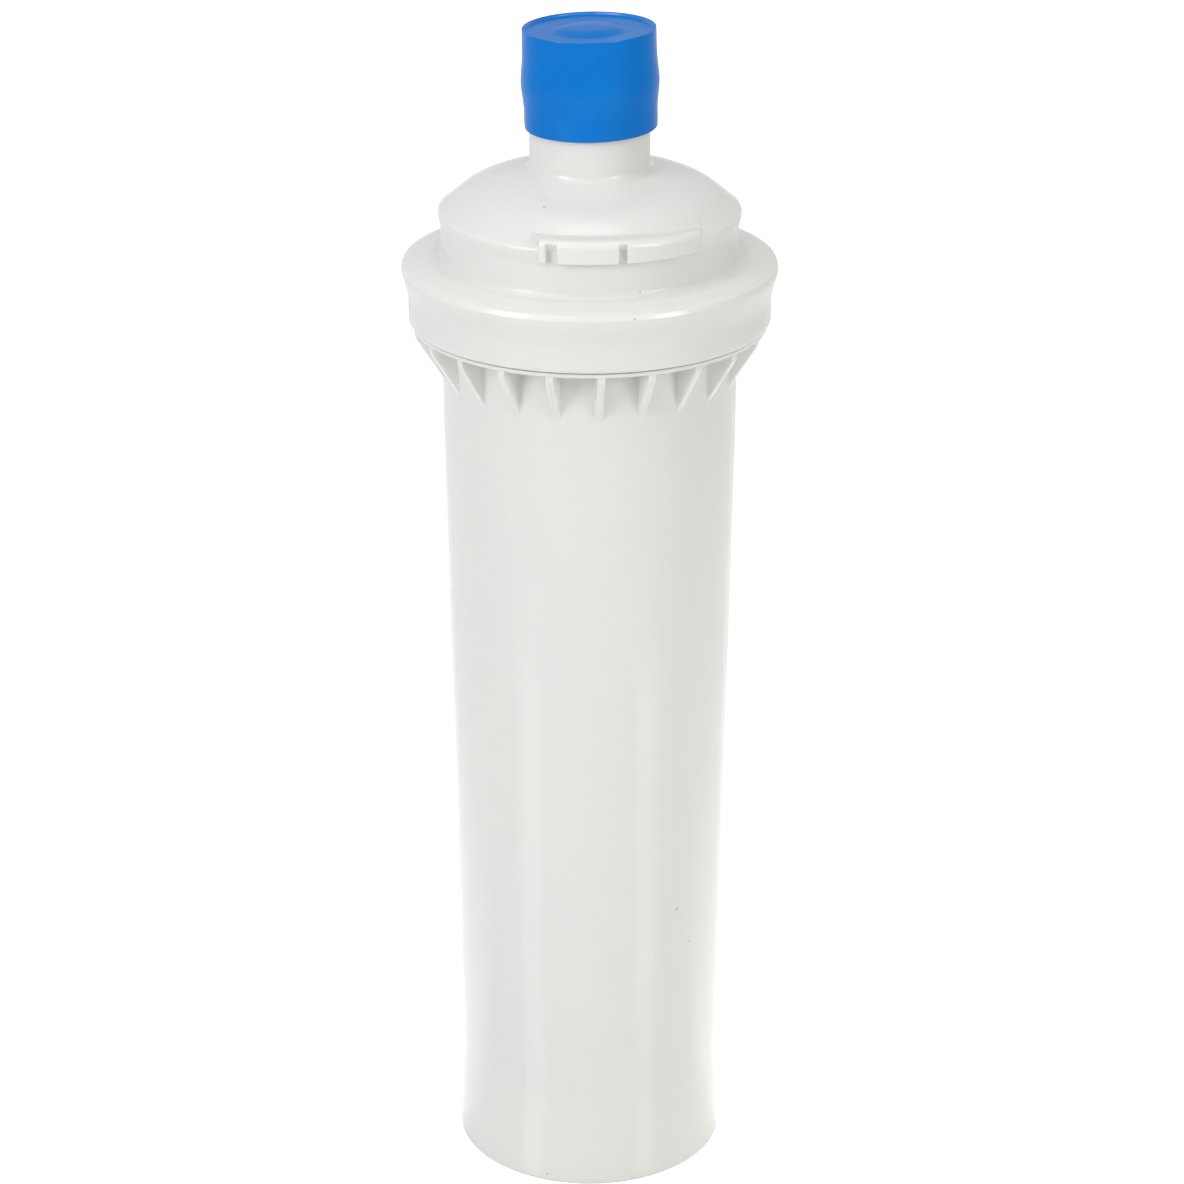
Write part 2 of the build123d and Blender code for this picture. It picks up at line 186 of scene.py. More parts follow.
def at(radius, degrees, z):
    """Point at an angle measured from the front (-Y) towards +X."""
    angle = math.radians(degrees)
    return (radius * math.sin(angle), -radius * math.cos(angle), z)


def wobble(degrees, seed):
    """Smooth periodic noise on an angle."""
    rng = np.random.RandomState(seed)
    out = 0.0
    for k in range(1, 5):
        size = rng.uniform(0.3, 1.0) / k
        out = out + size * np.sin(np.radians(degrees) * k + rng.uniform(0, 6.28))
    return out / 2


# ---------------------------------------------------------------------------
# mesh tools
# ---------------------------------------------------------------------------

def add_object(name, data):
    ob = bpy.data.objects.new(name, data)
    scene.collection.objects.link(ob)
    return ob


def mesh_from(name, bm):
    mesh = bpy.data.meshes.new(name)
    bm.to_mesh(mesh)
    bm.free()
    return mesh


def smooth(ob, sharp):
    """Smooth shading, with edges sharper than an angle in degrees kept crisp."""
    mesh = ob.data
    mesh.polygons.foreach_set("use_smooth", [True] * len(mesh.polygons))
    mesh.set_sharp_from_angle(angle=math.radians(sharp))
    mesh.update()


def clean_object(name, verts, faces, sharp):
    """Object from points in millimetres, with doubled points merged."""
    mesh = bpy.data.meshes.new(name)
    mesh.from_pydata([tuple(c * MM for c in v) for v in verts], [], faces)
    bm = bmesh.new()
    bm.from_mesh(mesh)
    bmesh.ops.remove_doubles(bm, verts=bm.verts, dist=2e-7)
    bmesh.ops.dissolve_degenerate(bm, edges=bm.edges, dist=1e-7)
    bmesh.ops.recalc_face_normals(bm, faces=bm.faces)
    bm.to_mesh(mesh)
    bm.free()
    mesh.update()
    ob = add_object(name, mesh)
    smooth(ob, sharp)
    return ob


def ring_of_columns(name, columns, sharp):
    """Closed profiles of equal length, joined one to the next round the axis."""
    n, m = len(columns), len(columns[0])
    faces = []
    for i in range(n):
        j = (i + 1) % n
        for k in range(m):
            l = (k + 1) % m
            faces.append((i * m + k, j * m + k, j * m + l, i * m + l))
    return clean_object(name, [p for column in columns for p in column], faces, sharp)


def lathe(name, profile, count, sharp, bend=None):
    """Solid of revolution. bend may move the array of points a little."""
    columns = [[at(r, 360.0 * i / count, z) for r, z in profile] for i in range(count)]
    if bend:
        columns = bend(np.array(columns)).tolist()
    return ring_of_columns(name, columns, sharp)


def paint(ob, material):
    ob.data.materials.clear()
    ob.data.materials.append(material)


def place(ob, material, body, node):
    """Paint a piece and put it in for a CAD node."""
    paint(ob, material)
    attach(ob, body)
    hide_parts(node)


# ---------------------------------------------------------------------------
# node tools
# ---------------------------------------------------------------------------

class Graph:
    """Short calls for building a node tree. Inputs take a number, a tuple or an output."""

    def __init__(self, tree):
        self.tree = tree
        tree.nodes.clear()

    def feed(self, socket, value):
        if isinstance(value, bpy.types.NodeSocket):
            self.tree.links.new(value, socket)
        elif isinstance(value, tuple) and socket.type == "RGBA":
            socket.default_value = (*value, 1)
        else:
            socket.default_value = value

    def new(self, kind, inputs=None, **settings):
        node = self.tree.nodes.new("ShaderNode" + kind)
        for key, value in settings.items():
            setattr(node, key, value)
        for key, value in (inputs or {}).items():
            self.feed(node.inputs[key], value)
        return node

    def math(self, operation, a, b=None):
        inputs = {0: a} if b is None else {0: a, 1: b}
        return self.new("Math", inputs, operation=operation).outputs[0]

    def remap(self, value, span, to=(0.0, 1.0), smoothed=False):
        """Map the range span onto the range to, clamped."""
        settings = {"interpolation_type": "SMOOTHSTEP"} if smoothed else {}
        return self.new("MapRange", {"From Min": span[0], "From Max": span[1], "To Min": to[0],
                                     "To Max": to[1], "Value": value}, **settings).outputs[0]

    def mix(self, share, a, b):
        """Blend of two colours."""
        return self.new("Mix", {0: share, 6: a, 7: b}, data_type="RGBA").outputs[2]

    def split(self, kind, output):
        """The three parts of a Color or XYZ output."""
        return self.new("Separate" + kind, {0: output}).outputs


class Surface(Graph):
    """A material with one Principled shader, textured in object coordinates."""

    def __init__(self, name):
        self.material = bpy.data.materials.new(name)
        self.material.use_nodes = True
        super().__init__(self.material.node_tree)
        self.output = self.new("OutputMaterial")
        self.shader = self.new("BsdfPrincipled")
        self.feed(self.output.inputs[0], self.shader.outputs[0])
        self.coords = self.new("TexCoord").outputs["Object"]

    def noise(self, scale, detail=3, rough=0.5, stretch=None, distortion=0.0):
        vector = self.coords
        if stretch:
            vector = self.new("Mapping", {"Scale": stretch, "Vector": vector}).outputs[0]
        return self.new("TexNoise", {"Scale": scale, "Detail": detail, "Roughness": rough,
                                     "Distortion": distortion, "Vector": vector}).outputs["Fac"]

    def voronoi(self, scale):
        return self.new("TexVoronoi", {"Scale": scale, "Vector": self.coords}).outputs

    def ramp(self, value, stops):
        """Colour ramp with (position, colour) stops."""
        node = self.new("ValToRGB", {0: value})
        elements = node.color_ramp.elements
        while len(elements) < len(stops):
            elements.new(0.5)
        for element, (position, color) in zip(elements, stops):
            element.position = position
            element.color = (*color, 1)
        return node.outputs[0]

    def bump(self, height, strength, distance, under=None):
        """Bump normal, laid over another normal if one is given."""
        inputs = {"Strength": strength, "Distance": distance, "Height": height}
        if under is not None:
            inputs["Normal"] = under
        return self.new("Bump", inputs).outputs[0]

    def set(self, **inputs):
        for key, value in inputs.items():
            self.feed(self.shader.inputs[key.replace("_", " ")], value)


# ---------------------------------------------------------------------------
# materials
# ---------------------------------------------------------------------------

WHITE = (0.815, 0.815, 0.800)
WARM_WHITE = (0.825, 0.820, 0.797)
# tint of the painted shade in corners where surfaces meet
CREVICE_SHADE_TINT = (0.86, 0.855, 0.84)
SPECK_COLOR = (0.20, 0.18, 0.16)
# single dark specks: place, radius (mm), darkness
HEAD_SPECKS = [((-13.2, -29.7, 323.5), 0.60, 0.5), ((14.6, -42.7, 301.7), 0.55, 0.4),
               ((13.0, -55.4, 297.8), 0.50, 0.5)]
SUMP_SPECKS = [((27.4, -33.3, 95.3), 0.75, 0.45), ((31.3, -29.6, 81.8), 0.60, 0.35),
               ((-13.7, -40.7, 2.5), 0.45, 0.6)]


def white_plastic(name, roughness, wave_stretch, specks):
    """Glossy white plastic: colour drift, orange peel, uneven gloss, tiny inclusions."""
    m = Surface(name)
    drift = m.noise(scale=14, detail=2)
    color = m.mix(m.remap(drift, span=(0.3, 0.7), smoothed=True), WHITE, WARM_WHITE)
    flow = m.noise(scale=60, detail=4, rough=0.55, stretch=(1, 1, 0.12))
    flow = m.remap(flow, span=(0.35, 0.75), to=(0.0, 0.25))
    color = m.mix(flow, color, tuple(c * 0.965 for c in WHITE))

    # a small dot in about one cell out of seventy
    cells = m.voronoi(scale=95)
    rare = m.math("GREATER_THAN", m.split("Color", cells["Color"])[0], 0.985)
    dot = m.math("LESS_THAN", cells["Distance"], 0.035)
    speck = m.math("MULTIPLY", m.math("MULTIPLY", rare, dot), 0.35)
    for spot, radius, darkness in specks:
        away = m.new("VectorMath", {0: m.coords, 1: tuple(c * MM for c in spot)},
                     operation="DISTANCE").outputs["Value"]
        here = m.remap(away, span=(radius * 0.35 * MM, radius * MM), to=(darkness, 0.0),
                       smoothed=True)
        speck = m.math("MAXIMUM", speck, here)
    color = m.mix(speck, color, SPECK_COLOR)

    # painted shade: a little darker in corners where surfaces meet, from ambient occlusion
    nearby = m.new("AmbientOcclusion", {"Distance": 0.004}, samples=4).outputs["AO"]
    painted_crevice_shade = m.remap(nearby, span=(0.2, 0.7), to=(0.12, 0.0), smoothed=True)
    color = m.mix(painted_crevice_shade, color, tuple(c * tint for c, tint in zip(WHITE, CREVICE_SHADE_TINT)))

    gloss = m.remap(m.noise(scale=45), span=(0.3, 0.7), to=(roughness * 0.85, roughness * 1.2))
    scuff = m.noise(scale=420, detail=5, rough=0.65, stretch=(1, 1, 0.35))
    gloss = m.math("ADD", gloss, m.remap(scuff, span=(0.62, 0.78), to=(0.0, 0.10)))
    peel = m.bump(m.noise(scale=900, detail=2, rough=0.45), strength=0.03, distance=0.0002)
    wave = m.bump(m.noise(scale=55, detail=2, stretch=(1, 1, wave_stretch)),
                  strength=0.05, distance=0.0012, under=peel)
    m.set(Base_Color=color, Roughness=gloss, Normal=wave, IOR=1.5, Specular_IOR_Level=0.5,
          Subsurface_Weight=0.42, Subsurface_Scale=0.0030, Subsurface_Radius=(1.0, 0.95, 0.85))
    return m.material


def blue_soft_plastic():
    """Soft semi-matte blue plastic: pigment drift, a paler bulge, faint scuffs."""
    m = Surface("blue_cap")
    color = m.mix(m.remap(m.noise(scale=70), span=(0.3, 0.7), smoothed=True),
                  (0.0012, 0.176, 0.610), (0.0026, 0.193, 0.655))
    height = m.split("XYZ", m.coords)[2]
    # stretched over the lower seal, 353.4 mm up: a touch paler
    from_bulge = m.math("ABSOLUTE", m.math("SUBTRACT", height, 0.3534))
    stretch = m.remap(from_bulge, span=(0.0, 0.0055), to=(0.05, 0.0), smoothed=True)
    color = m.mix(stretch, color, (0.040, 0.300, 0.800))
    scuff = m.noise(scale=240, detail=6, rough=0.7, stretch=(1, 1, 0.5), distortion=0.6)
    scuff = m.remap(scuff, span=(0.60, 0.74), to=(0.0, 0.05))
    color = m.mix(scuff, color, (0.10, 0.36, 0.82))
    gloss = m.math("ADD", m.remap(m.noise(scale=120), span=(0.3, 0.7), to=(0.19, 0.27)), scuff)
    grain = m.bump(m.noise(scale=1500, rough=0.6), strength=0.06, distance=0.0002)
    wave = m.bump(m.noise(scale=110, detail=2), strength=0.10, distance=0.0012, under=grain)

    # brighter reflections on the slopes of the top rim, weaker ones on the flat top
    facing_up = m.split("XYZ", m.new("NewGeometry").outputs["Normal"])[2]
    slope = m.math("MULTIPLY", m.remap(facing_up, span=(0.08, 0.22)),
                   m.remap(facing_up, span=(0.55, 0.72), to=(1.0, 0.0)))
    slope = m.math("MULTIPLY", slope, m.remap(height, span=(0.3660, 0.3665)))
    flat = m.math("MULTIPLY", m.remap(facing_up, span=(0.80, 0.95)), 0.10)
    change = m.math("SUBTRACT", m.math("MULTIPLY", slope, 0.80), flat)
    m.set(Base_Color=color, Roughness=gloss, Normal=wave, IOR=1.5,
          Specular_IOR_Level=m.math("ADD", 0.15, change),
          Subsurface_Weight=0.03, Subsurface_Scale=0.0010, Subsurface_Radius=(0.3, 0.6, 1.0))
    return m.material


def rubber():
    """Black rubber with a grey bloom."""
    m = Surface("seal_rubber")
    bloom = m.remap(m.noise(scale=160, detail=5, rough=0.65), span=(0.45, 0.8), to=(0.0, 0.5))
    color = m.mix(bloom, (0.013, 0.013, 0.014), (0.055, 0.056, 0.058))
    gloss = m.remap(m.noise(scale=300), span=(0.3, 0.7), to=(0.38, 0.58))
    m.set(Base_Color=color, Roughness=gloss,
          Normal=m.bump(m.noise(scale=2200), strength=0.15, distance=0.00015), IOR=1.52)
    return m.material


def natural_plastic():
    """Unpigmented polypropylene: milky, slightly see-through, soft sheen."""
    m = Surface("natural_plastic")
    color = m.mix(m.remap(m.noise(scale=30), span=(0.3, 0.7)),
                  (0.70, 0.70, 0.665), (0.76, 0.76, 0.735))
    streaks = m.noise(scale=260, detail=5, rough=0.6, stretch=(1, 1, 0.15))
    m.set(Base_Color=color, Roughness=m.remap(streaks, span=(0.4, 0.7), to=(0.26, 0.42)),
          Normal=m.bump(m.noise(scale=700), strength=0.08, distance=0.0003), IOR=1.49,
          Subsurface_Weight=0.25, Subsurface_Scale=0.004, Subsurface_Radius=(1.0, 0.95, 0.85))
    return m.material


def hot_melt():
    """Amber hot-melt glue."""
    m = Surface("hot_melt")
    color = m.mix(m.remap(m.noise(scale=90, detail=4, rough=0.6), span=(0.35, 0.7)),
                  (0.56, 0.44, 0.24), (0.68, 0.58, 0.38))
    m.set(Base_Color=color,
          Roughness=m.remap(m.noise(scale=150), span=(0.3, 0.7), to=(0.28, 0.5)),
          Normal=m.bump(m.noise(scale=180, detail=4), strength=0.4, distance=0.0008), IOR=1.48,
          Subsurface_Weight=0.3, Subsurface_Scale=0.004, Subsurface_Radius=(1.0, 0.7, 0.4))
    return m.material


def carbon():
    """Pressed carbon block: packed black grains in a polymer binder."""
    m = Surface("carbon")
    grains = m.voronoi(scale=1400)
    tone, gloss, _ = m.split("Color", grains["Color"])
    color = m.ramp(tone, [(0.0, (0.008, 0.008, 0.009)), (0.7, (0.022, 0.022, 0.023)),
                          (1.0, (0.055, 0.055, 0.058))])
    gloss = m.remap(gloss, span=(0.0, 1.0), to=(0.45, 0.95))
    fine = m.bump(grains["Distance"], strength=0.5, distance=0.0004)
    coarse = m.bump(m.noise(scale=260, detail=4, rough=0.6), strength=0.3, distance=0.0006,
                    under=fine)
    m.set(Base_Color=color, Roughness=gloss, Normal=coarse)
    return m.material


def nonwoven():
    """Spun-bond fleece: crossing fine fibres."""
    m = Surface("nonwoven")
    upright = m.noise(scale=500, detail=6, rough=0.7, stretch=(1, 1, 0.08), distortion=1.2)
    across = m.noise(scale=500, detail=6, rough=0.7, stretch=(0.12, 0.12, 1), distortion=1.5)
    fibres = m.math("MAXIMUM", upright, across)
    color = m.mix(m.remap(fibres, span=(0.45, 0.75)), (0.60, 0.60, 0.58), (0.82, 0.82, 0.80))
    m.set(Base_Color=color, Roughness=0.85,
          Normal=m.bump(fibres, strength=0.7, distance=0.0004), Sheen_Weight=0.3)
    return m.material


def netting():
    """Extruded diamond net."""
    strands_round, strands_per_metre = 36.0, 150.0
    m = Surface("net_plastic")
    x, y, z = m.split("XYZ", m.coords)
    angle = m.math("ARCTAN2", y, x)
    around = m.math("MULTIPLY", angle, strands_round / (2 * math.pi))
    upward = m.math("MULTIPLY", z, strands_per_metre)
    # distance to the nearest strand of each slant
    slants = [m.math("ABSOLUTE", m.math("SUBTRACT",
                                        m.math("FRACT", m.math(sign, around, upward)), 0.5))
              for sign in ("ADD", "SUBTRACT")]
    strand = m.remap(m.math("MINIMUM", *slants), span=(0.0, 0.16), to=(1.0, 0.0), smoothed=True)
    color = m.mix(strand, (0.55, 0.56, 0.57), (0.85, 0.86, 0.88))
    m.set(Base_Color=color,
          Roughness=m.remap(m.noise(scale=200), span=(0.3, 0.7), to=(0.32, 0.5)),
          Normal=m.bump(strand, strength=0.9, distance=0.0006), IOR=1.5)
    return m.material


def spring_steel():
    """Drawn steel wire."""
    m = Surface("spring_steel")
    grain = m.noise(scale=900, detail=4, rough=0.6, stretch=(1, 1, 0.3))
    color = m.mix(m.remap(grain, span=(0.3, 0.7)), (0.48, 0.475, 0.465), (0.62, 0.615, 0.60))
    m.set(Base_Color=color, Metallic=1.0,
          Roughness=m.remap(grain, span=(0.3, 0.7), to=(0.16, 0.34)),
          Normal=m.bump(grain, strength=0.08, distance=0.0001))
    return m.material


MATERIALS = {
    "head": white_plastic("white_shell_head", roughness=0.19, wave_stretch=0.7,
                          specks=HEAD_SPECKS),
    "sump": white_plastic("white_shell_sump", roughness=0.14, wave_stretch=0.3,
                          specks=SUMP_SPECKS),
    "blue_cap": blue_soft_plastic(),
    "seal_rubber": rubber(),
    "natural_plastic": natural_plastic(),
    "hot_melt": hot_melt(),
    "carbon": carbon(),
    "nonwoven": nonwoven(),
    "net_plastic": netting(),
    "spring_steel": spring_steel(),
}


def paint_cad_pieces():
    slot_of = {part["node"]: part["material_slot"] for part in frame["record"]["subparts"]}
    for name, ob in frame["nodes"].items():
        key = slot_of[name]
        material = MATERIALS["head" if key == "white_shell" else key]
        for slot in ob.material_slots:
            slot.material = material
        if not ob.material_slots:
            ob.data.materials.append(material)


paint_cad_pieces()


# ---------------------------------------------------------------------------
# head shell: neck, dome, two lugs half a turn apart, drum and skirt
# ---------------------------------------------------------------------------

NECK_R = 18.1
DRUM_R = 44.9
DRUM_JOIN = (DRUM_R, 309.4)      # where the changing stretch ends on the drum

# outside of the neck, from the outlet bore down, and its corner radii
NECK_OUTSIDE = [(5.2, 365.2), (5.2, 366.5), (15.4, 366.5), (15.4, 364.7), (13.2, 364.7),
                (13.2, 361.7), (15.4, 361.7), (15.4, 356.8), (NECK_R, 356.8), (NECK_R, 355.0),
                (15.6, 355.0), (15.6, 351.6), (NECK_R, 351.6), (NECK_R, 331.0)]
NECK_OUTSIDE_RADII = [0.35, 0.7, 0.15, 0.25, 0.25, 0.15, 0.5, 0.8, 0.2, 0.3, 0.3, 0.2]
DOME = [(20.5, 326.75), (26.0, 325.5), (32.0, 323.7), (38.0, 320.8), (42.0, 317.6), (44.4, 315.6)]
NECK_FOOT = [(NECK_R, 329.6), (18.75, 327.75), DOME[0]]
SHOULDER = [DOME[-1], (45.25, 314.98), (45.56, 314.2)]
DRUM_TOP = [SHOULDER[-1], (45.3, 312.2), (44.95, 310.4), DRUM_JOIN]

# flange below the drum, and the outside bulge under it
FLANGE = [(49.4, 300.4), (54.3, 299.55), (56.35, 298.7), (56.90, 297.3), (56.82, 296.4)]
BULGE = [FLANGE[-1], (56.45, 294.6), (55.8, 292.4), (55.3, 290.4), (55.0, 287.5)]
# the skirt's lower edge, the ring slot above it, and up the inside
SKIRT = [BULGE[-1], (55.0, 280.9), (52.0, 280.9), (52.0, 296.4), (49.2, 296.4), (49.2, 286.0),
         (45.3, 286.0), (45.3, 296.4), (41.4, 296.4), (41.4, 311.2)]
SKIRT_RADII = [0.7, 0.3, 0.3, 0.3, 0.4, 0.4, 0.3, 0.3]
DOME_INSIDE = [SKIRT[-1], (38.6, 315.7), (34.0, 318.9), (28.0, 321.2), (22.0, 322.6),
               (17.4, 323.4)]
NECK_INSIDE = [DOME_INSIDE[-1], (17.4, 322.5), (14.6, 322.5), (14.6, 338.0), (11.0, 338.0),
               (11.0, 340.2), (13.0, 341.6), (13.0, 355.4), (11.6, 356.6), (11.6, 360.6),
               (9.3, 360.6), (9.3, 350.0), (7.5, 350.0), (7.5, 363.4), (5.2, 363.4), (5.2, 364.6)]
NECK_INSIDE_RADII = [0.1, 0.1, 0.2, 0.15, 0.15, 0.3, 0.3, 0.3, 0.3, 0.2, 0.2, 0.3, 0.1, 0.1]

# lug: height of its flat top and underside, face radius, radius where its rounding would vanish
LUG_TOP, LUG_BOTTOM, LUG_R, LUG_ROOT = 318.2, 311.4, 47.7, 42.7
LUG_EDGE = 0.3                           # radius of the lower edge
NOTCH_FLOOR_R = 45.05
NOTCHES = ((-15.8, -11.6), (10.2, 13.4))     # degrees, start and end
NOTCH_INSET = 0.6                        # degrees kept free for the side faces
TAIL_START, TAIL_END = 13.4, 46.0        # degrees over which the face draws in
DROP_START, DROP_SPAN, DROP = 10.0, 38.0, 1.0    # degrees, degrees, mm the top sinks
LEFT_FACE_X, LEFT_VALLEY_X, RIGHT_END_X = -14.8, -17.0, 32.6     # planes where a lug ends

# points in each stretch of a lug's section, from the dome down
VALLEY_N, TOP_N, ROUND_N, FACE_N, EDGE_N, UNDER_N, JOIN_N = 6, 9, 10, 14, 4, 6, 4
NOTCH_RAMP_N = 9                         # the part of FACE_N that a notch's ramp takes

# eased side face of a notch: degrees from the face, share of the higher section
SIDE_FACE = [(-0.55, 0.0), (-0.28, 0.015), (-0.12, 0.06), (-0.04, 0.16), (0.0, 0.32),
             (0.02, 0.55), (0.05, 0.76), (0.13, 0.91), (0.28, 0.98), (0.50, 1.0)]

dome = [DOME[0]] + smooth_curve(DOME, (1, -0.2), (1, -0.85), 240)
dome_split = first_below(dome, 319.25)           # last dome point common to all sections


def head_above():
    """Fixed stretch from the outlet bore to the dome just above the lugs."""
    out = rounded(NECK_OUTSIDE, NECK_OUTSIDE_RADII, 4, 1.6) + [NECK_FOOT[0]]
    out += smooth_curve(NECK_FOOT, (0, -1), (1, -0.2), 7)
    return out + [dome[i] for i in range(8, dome_split - 3, 8)] + [dome[dome_split]]


def head_below():
    """Fixed stretch from the drum down and back up the inside."""
    cove_r, cove_z = 1.8, 302.2
    out = straight(DRUM_JOIN, (DRUM_R, cove_z), 6)
    cove_center = (DRUM_R + cove_r, cove_z)
    out += arc(cove_center, cove_r, 180, 270, 6)
    out += straight((cove_center[0], cove_z - cove_r), FLANGE[0], 3)[1:]
    out += rounded(FLANGE, [1.2, 0.55, 0.5], 5, 1.2)[1:]
    out += smooth_curve(BULGE, (-0.12, -1), (0, -1), 10)
    out += rounded(SKIRT, SKIRT_RADII, 6, 2.5)[1:]
    out += smooth_curve(DOME_INSIDE, (-0.1, 1), (-1, 0.12), 26)
    return out + rounded(NECK_INSIDE, NECK_INSIDE_RADII, 3, 3.0)[1:]


def plain_section():
    """The changing stretch where there is no lug, with as many points as a lug's."""
    crease = first_below(dome, 318.42)
    dome_end = next(i for i, point in enumerate(dome) if point[0] > 44.0)
    out = sample(dome, dome_split, crease, VALLEY_N)
    out += sample(dome, crease, dome_end, TOP_N)
    shoulder = [dome[dome_end]] + smooth_curve([dome[dome_end]] + SHOULDER,
                                               (1, -0.85), (0.02, -1), 60)
    out += sample(shoulder, 0, 60, ROUND_N)
    drum = smooth_curve(DRUM_TOP, (0, -1), (0, -1), 240)
    stations = [0] + [first_below(drum, z) for z in (311.75, 311.45, 310.9)] + [239]
    for first, last, count in zip(stations, stations[1:], (FACE_N, EDGE_N, UNDER_N, JOIN_N)):
        out += sample(drum, first, last, count)
    return out


def notch_rows(r, z):
    """From the rounding at (r, z), a ramp that deepens to the drum, down to the underside."""
    floor_r, floor_z = NOTCH_FLOOR_R, z - 3.5
    out = even([(r, z), (r - 0.18, z - 0.14), (r - 0.9, z - 0.95), (floor_r + 0.55, z - 2.0),
                (floor_r + 0.12, z - 2.8), (floor_r, floor_z)], NOTCH_RAMP_N)
    edge_z, under = LUG_BOTTOM + 0.35, (floor_r - 0.03, LUG_BOTTOM + 0.05)
    out += even([(floor_r, floor_z), (floor_r, edge_z)], FACE_N - NOTCH_RAMP_N)
    out += even([(floor_r, edge_z), under], EDGE_N)
    return out + even([under, (44.98, LUG_BOTTOM - 0.45)], UNDER_N)


def face_rows(face_r, z):
    """Upright face from height z, lower edge and underside of a lug."""
    edge_r, edge_z, base_r = face_r - LUG_EDGE, LUG_BOTTOM + LUG_EDGE, 45.15
    out = even([(face_r, z), (face_r, edge_z)], FACE_N)
    out += arc((edge_r, edge_z), LUG_EDGE, 0, -90, EDGE_N)
    return out + even([(edge_r, LUG_BOTTOM), (base_r + 0.15, LUG_BOTTOM),
                       (base_r, LUG_BOTTOM - 0.08), (44.99, LUG_BOTTOM - 0.45)], UNDER_N)


def lug_section(face_r=LUG_R, top=LUG_TOP, notched=False):
    rounding = (face_r - LUG_ROOT) * 0.5
    # the valley lies where the dome comes down to the flat top
    valley = first_below(dome, top + 0.20)
    valley_r, valley_z = dome[valley]
    top_start = (valley_r + 0.55, top - 0.03)
    out = even([dome[i] for i in range(dome_split, valley, 2)]
               + [(valley_r, valley_z), (valley_r + 0.22, top + 0.05), top_start], VALLEY_N)
    out += even([top_start, (face_r - rounding - 0.8, top - 0.02), (face_r - rounding, top)],
                TOP_N)
    out += arc((face_r - rounding, top - rounding), rounding, 90, 37 if notched else 0, ROUND_N)
    out += notch_rows(*out[-1]) if notched else face_rows(face_r, top - rounding)
    return out + even([out[-1], DRUM_JOIN], JOIN_N)


def lug_at(degrees):
    """Full section of a lug; its right part tapers."""
    t = max(0.0, min(1.15, (degrees - TAIL_START) / (TAIL_END - TAIL_START)))
    return lug_section(LUG_R - 0.55 * t - 1.15 * t * t,
                       LUG_TOP - DROP * ease((degrees - DROP_START) / DROP_SPAN))


def end_section(degrees, left):
    """Section near a lug's end. The ends lie at given x, so each row ends at its own angle."""
    sine = math.sin(math.radians(degrees))
    out = []
    for p, q in zip(PLAIN, lug_at(degrees)):
        r = max(q[0], p[0])
        if left:
            inward = ease((46.0 - r) / 4.4)
            end_x = LEFT_FACE_X + (LEFT_VALLEY_X - LEFT_FACE_X) * inward
            share = ease((r * sine - end_x) / (0.6 + 1.3 * inward) + 0.5)
        else:
            share = ease((RIGHT_END_X - r * sine) / 1.5 + 0.5)
        out += blend([p], [q], share)
    return out


def fill(start, end, count, section_at):
    """(degrees, section) pairs strictly between two angles."""
    return [(d, section_at(d)) for d in np.linspace(start, end, count + 2)[1:-1]]


def side_face(degrees, other, rising):
    """Side face between the notch and a full section, rising or falling with the angle."""
    rows = SIDE_FACE if rising else [(-offset, share) for offset, share in reversed(SIDE_FACE)]
    return [(degrees + offset, blend(NOTCHED, other, share)) for offset, share in rows]


def notch_stretch(limits, count, after):
    """A whole notch: side face, floor, side face."""
    start, end = limits
    return (side_face(start, FULL, False)
            + fill(start + NOTCH_INSET, end - NOTCH_INSET, count, lambda d: NOTCHED)
            + side_face(end, after, True))


PLAIN = plain_section()
FULL = lug_section()
NOTCHED = lug_section(notched=True)


def head_columns():
    half_turn = fill(-61.0, -26.4, 22, lambda d: PLAIN)
    half_turn += fill(-26.6, -17.0, 40, lambda d: end_section(d, left=True))
    half_turn += notch_stretch(NOTCHES[0], 3, FULL)
    half_turn += fill(NOTCHES[0][1] + NOTCH_INSET, NOTCHES[1][0] - NOTCH_INSET, 20,
                      lambda d: FULL)
    half_turn += notch_stretch(NOTCHES[1], 2, lug_at(NOTCHES[1][1]))
    half_turn += fill(14.0, 43.2, 28, lug_at)
    half_turn += fill(43.0, 53.4, 42, lambda d: end_section(d, left=False))
    half_turn += fill(53.4, 119.0, 40, lambda d: PLAIN)
    above, below = head_above(), head_below()
    return [[at(r, degrees + turn, z) for r, z in above + section + below]
            for turn in (0.0, 180.0) for degrees, section in half_turn]


PORT_COUNT = 8
PORT_R, PORT_DEPTH = 1.5, 7
PORT_CENTER_R, PORT_Z = 13.7, 358.7


def port_drill(angle):
    """Cylinder mesh lying along a radius of the neck."""
    bm = bmesh.new()
    bmesh.ops.create_cone(bm, cap_ends=True, segments=24, radius1=PORT_R * MM,
                          radius2=PORT_R * MM, depth=PORT_DEPTH * MM)
    pose = (Matrix.Rotation(angle, 4, "Z")
            @ Matrix.Translation((PORT_CENTER_R * MM, 0, PORT_Z * MM))
            @ Matrix.Rotation(math.radians(90), 4, "Y"))
    bmesh.ops.transform(bm, matrix=pose, verts=bm.verts)
    return mesh_from("cut", bm)


def cut_ports(ob):
    """Radial inlet ports between the two neck seals."""
    pitch = 360 / PORT_COUNT
    drills = bmesh.new()
    for i in range(PORT_COUNT):
        drills.from_mesh(port_drill(math.radians(pitch * i + pitch / 2)))
    cutter = add_object("port_cutter", mesh_from("port_cutter", drills))
    modifier = ob.modifiers.new("ports", "BOOLEAN")
    modifier.operation = "DIFFERENCE"
    modifier.solver = "MANIFOLD"
    modifier.object = cutter
    bpy.context.view_layer.update()
    depsgraph = bpy.context.evaluated_depsgraph_get()
    drilled = bpy.data.meshes.new_from_object(ob.evaluated_get(depsgraph))
    ob.modifiers.clear()
    ob.data = drilled
    bpy.data.objects.remove(cutter)


SHELL_SHARP = 33
head = ring_of_columns("head_shell_moulded", head_columns(), SHELL_SHARP)
cut_ports(head)
smooth(head, SHELL_SHARP)
place(head, MATERIALS["head"], "cartridge", "head_shell")


